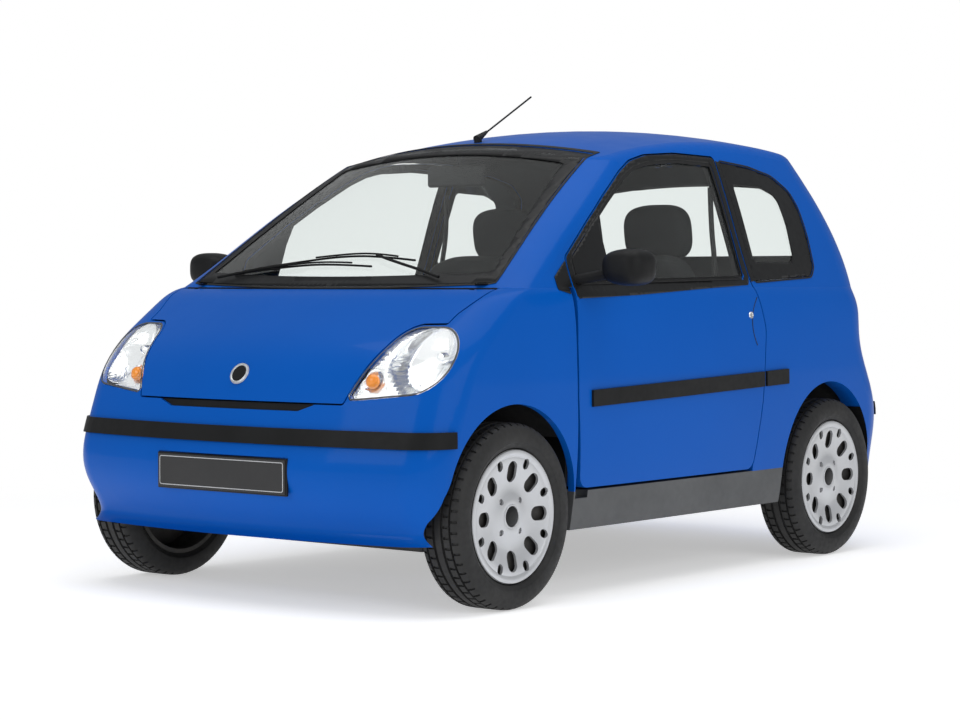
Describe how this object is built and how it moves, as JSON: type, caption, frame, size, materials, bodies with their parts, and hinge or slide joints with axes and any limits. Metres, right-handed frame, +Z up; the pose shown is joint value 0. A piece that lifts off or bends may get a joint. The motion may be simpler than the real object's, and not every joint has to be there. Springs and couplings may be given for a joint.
{
  "type": "two-seat microcar",
  "caption": "Short two-seat city car with hinged doors, bonnet, lifting rear window, drop-down tailgate, steering and rolling wheels.",
  "frame": {"origin": "on the ground under the middle of the car's length and width", "axes": "+X forward, +Y to the car's left, +Z up"},
  "size_m": [2.7954, 1.868, 1.5786],
  "materials": {
    "paint": "gloss solid blue",
    "grey_plastic": "satin",
    "black_plastic": "grained",
    "gloss_black": "gloss",
    "glass": "clear",
    "lens": "clear",
    "reflector": "bright",
    "red_lens": "clear red",
    "tyre": "matt",
    "alloy": "silver paint",
    "steel": "satin",
    "iron": "rough",
    "fabric": "woven",
    "floor": "matt"
  },
  "bodies": {
    "car": {"floor_pan": "floor", "upper_frame": "paint", "rear_quarters": "paint", "front_wings": "paint", "sills": "grey_plastic", "front_bumper": "paint", "bumper_strips": "black_plastic", "rear_bumper": "paint", "scuttle": "black_plastic", "windscreen": "glass", "quarter_glass": "glass", "headlamp_bowls": "reflector", "headlamp_lenses": "lens", "tail_lamps": "red_lens", "grille": "black_plastic", "dashboard": "black_plastic", "driver_seat": "fabric", "passenger_seat": "fabric", "engine_block": "iron", "front_suspension": "steel", "rear_axle": "steel", "exhaust": "steel", "inner_mirror": "black_plastic", "antenna": "black_plastic", "wipers": "black_plastic", "wheel_housings": "black_plastic", "door_hinges": "steel"},
    "bonnet": {"bonnet": "paint"},
    "tailgate": {"tailgate": "paint"},
    "rear_window": {"rear_window": "gloss_black"},
    "steering_wheel": {"steering_wheel": "black_plastic"},
    "knuckle_left": {"knuckle_left": "steel"},
    "knuckle_right": {"knuckle_right": "steel"},
    "door_left": {"door_left": "paint", "door_glass_left": "glass", "door_strip_left": "black_plastic", "mirror_left": "gloss_black"},
    "door_right": {"door_right": "paint", "door_glass_right": "glass", "door_strip_right": "black_plastic", "mirror_right": "gloss_black"},
    "wheel_front_left": {"tyre_front_left": "tyre", "rim_front_left": "alloy"},
    "wheel_front_right": {"tyre_front_right": "tyre", "rim_front_right": "alloy"},
    "wheel_rear_left": {"tyre_rear_left": "tyre", "rim_rear_left": "alloy"},
    "wheel_rear_right": {"tyre_rear_right": "tyre", "rim_rear_right": "alloy"}
  },
  "joints": [
    {"name": "steer_left", "type": "hinge", "parent": "car", "child": "knuckle_left", "pos_m": [0.95, 0.612, 0.271], "axis": [0, 0, 1], "range_deg": [-30, 30]},
    {"name": "steer_right", "type": "hinge", "parent": "car", "child": "knuckle_right", "pos_m": [0.95, -0.612, 0.271], "axis": [0, 0, 1], "range_deg": [-30, 30]},
    {"name": "steering_wheel_turn", "type": "hinge", "parent": "car", "child": "steering_wheel", "pos_m": [0.35, 0.33, 0.8], "axis": [-0.8988, 0, 0.4384], "range_deg": [-420, 420]},
    {"name": "spin_front_left", "type": "hinge", "parent": "knuckle_left", "child": "wheel_front_left", "pos_m": [0.95, 0.675, 0.271], "axis": [0, 1, 0], "continuous": true},
    {"name": "spin_front_right", "type": "hinge", "parent": "knuckle_right", "child": "wheel_front_right", "pos_m": [0.95, -0.675, 0.271], "axis": [0, 1, 0], "continuous": true},
    {"name": "spin_rear_left", "type": "hinge", "parent": "car", "child": "wheel_rear_left", "pos_m": [-0.86, 0.675, 0.271], "axis": [0, 1, 0], "continuous": true},
    {"name": "spin_rear_right", "type": "hinge", "parent": "car", "child": "wheel_rear_right", "pos_m": [-0.86, -0.675, 0.271], "axis": [0, 1, 0], "continuous": true},
    {"name": "door_left_swing", "type": "hinge", "parent": "car", "child": "door_left", "pos_m": [0.607, 0.712, 0.6], "axis": [0, 0, -1], "range_deg": [0, 62]},
    {"name": "door_right_swing", "type": "hinge", "parent": "car", "child": "door_right", "pos_m": [0.607, -0.712, 0.6], "axis": [0, 0, 1], "range_deg": [0, 62]},
    {"name": "bonnet_lift", "type": "hinge", "parent": "car", "child": "bonnet", "pos_m": [0.9215, 0, 0.9148], "axis": [0, -1, 0], "range_deg": [0, 60]},
    {"name": "rear_window_lift", "type": "hinge", "parent": "car", "child": "rear_window", "pos_m": [-1.061, 0, 1.389], "axis": [0, 1, 0], "range_deg": [0, 75]},
    {"name": "tailgate_drop", "type": "hinge", "parent": "car", "child": "tailgate", "pos_m": [-1.366, 0, 0.5565], "axis": [0, -1, 0], "range_deg": [0, 88]}
  ],
  "couplings": [
    {"joint": "steer_right", "follows": "steer_left", "ratio": 1},
    {"joint": "steering_wheel_turn", "follows": "steer_left", "ratio": 14}
  ]
}
